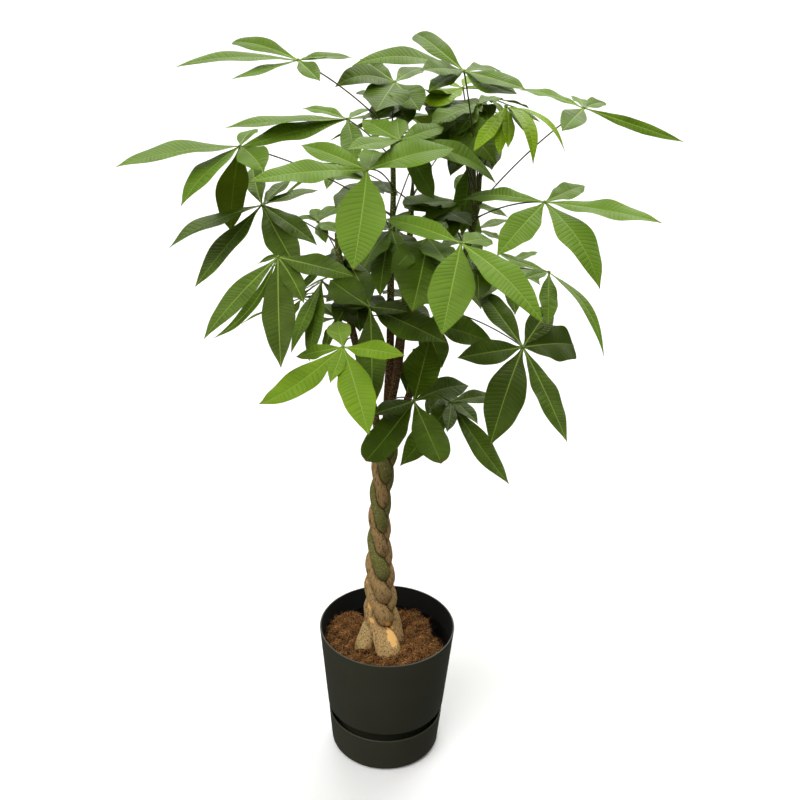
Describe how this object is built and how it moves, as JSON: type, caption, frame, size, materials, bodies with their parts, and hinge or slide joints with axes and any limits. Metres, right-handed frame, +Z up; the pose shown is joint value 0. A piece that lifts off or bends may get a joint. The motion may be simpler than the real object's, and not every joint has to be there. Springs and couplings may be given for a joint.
{
  "type": "potted money tree",
  "caption": "Potted money tree: braided trunk, long-stalked leaves whose leaflets spread like fingers, coir soil, and a black tapered pot in a deep saucer.",
  "frame": {"origin": "centre of the saucer's underside, on the surface that the part stands on", "axes": "+Z up; +Y away from the side that the picture shows; +X to the picture's right"},
  "size_m": [0.7949, 0.8667, 1.3113],
  "materials": {
    "pot_plastic": "satin",
    "coir": "matte",
    "bark": "matte",
    "leaf": "satin",
    "young_leaf": "satin"
  },
  "bodies": {
    "root": {"pot": "pot_plastic", "saucer": "pot_plastic", "soil": "coir", "stem_centre": "bark", "stem_right": "bark", "stem_left": "bark", "stem_front": "bark", "stem_back": "bark", "leaf_01": "leaf", "leaf_02": "leaf", "leaf_03": "leaf", "leaf_04": "leaf", "leaf_05": "leaf", "leaf_06": "leaf", "leaf_07": "leaf", "leaf_08": "leaf", "leaf_09": "young_leaf", "leaf_10": "leaf", "leaf_11": "leaf", "leaf_12": "leaf", "leaf_13": "leaf", "leaf_14": "leaf", "leaf_15": "leaf", "leaf_16": "leaf", "leaf_17": "leaf", "leaf_18": "leaf", "leaf_19": "leaf", "leaf_20": "leaf", "leaf_21": "leaf", "leaf_22": "leaf", "leaf_23": "leaf", "leaf_24": "leaf", "leaf_25": "leaf", "leaf_26": "leaf", "leaf_27": "leaf", "leaf_28": "leaf", "leaf_29": "leaf", "leaf_30": "leaf", "leaf_31": "leaf", "leaf_32": "leaf", "leaf_33": "leaf", "leaf_34": "leaf", "leaf_35": "leaf", "leaf_36": "leaf", "leaf_37": "leaf", "leaf_38": "leaf", "leaf_39": "leaf", "leaf_40": "leaf"}
  },
  "joints": []
}
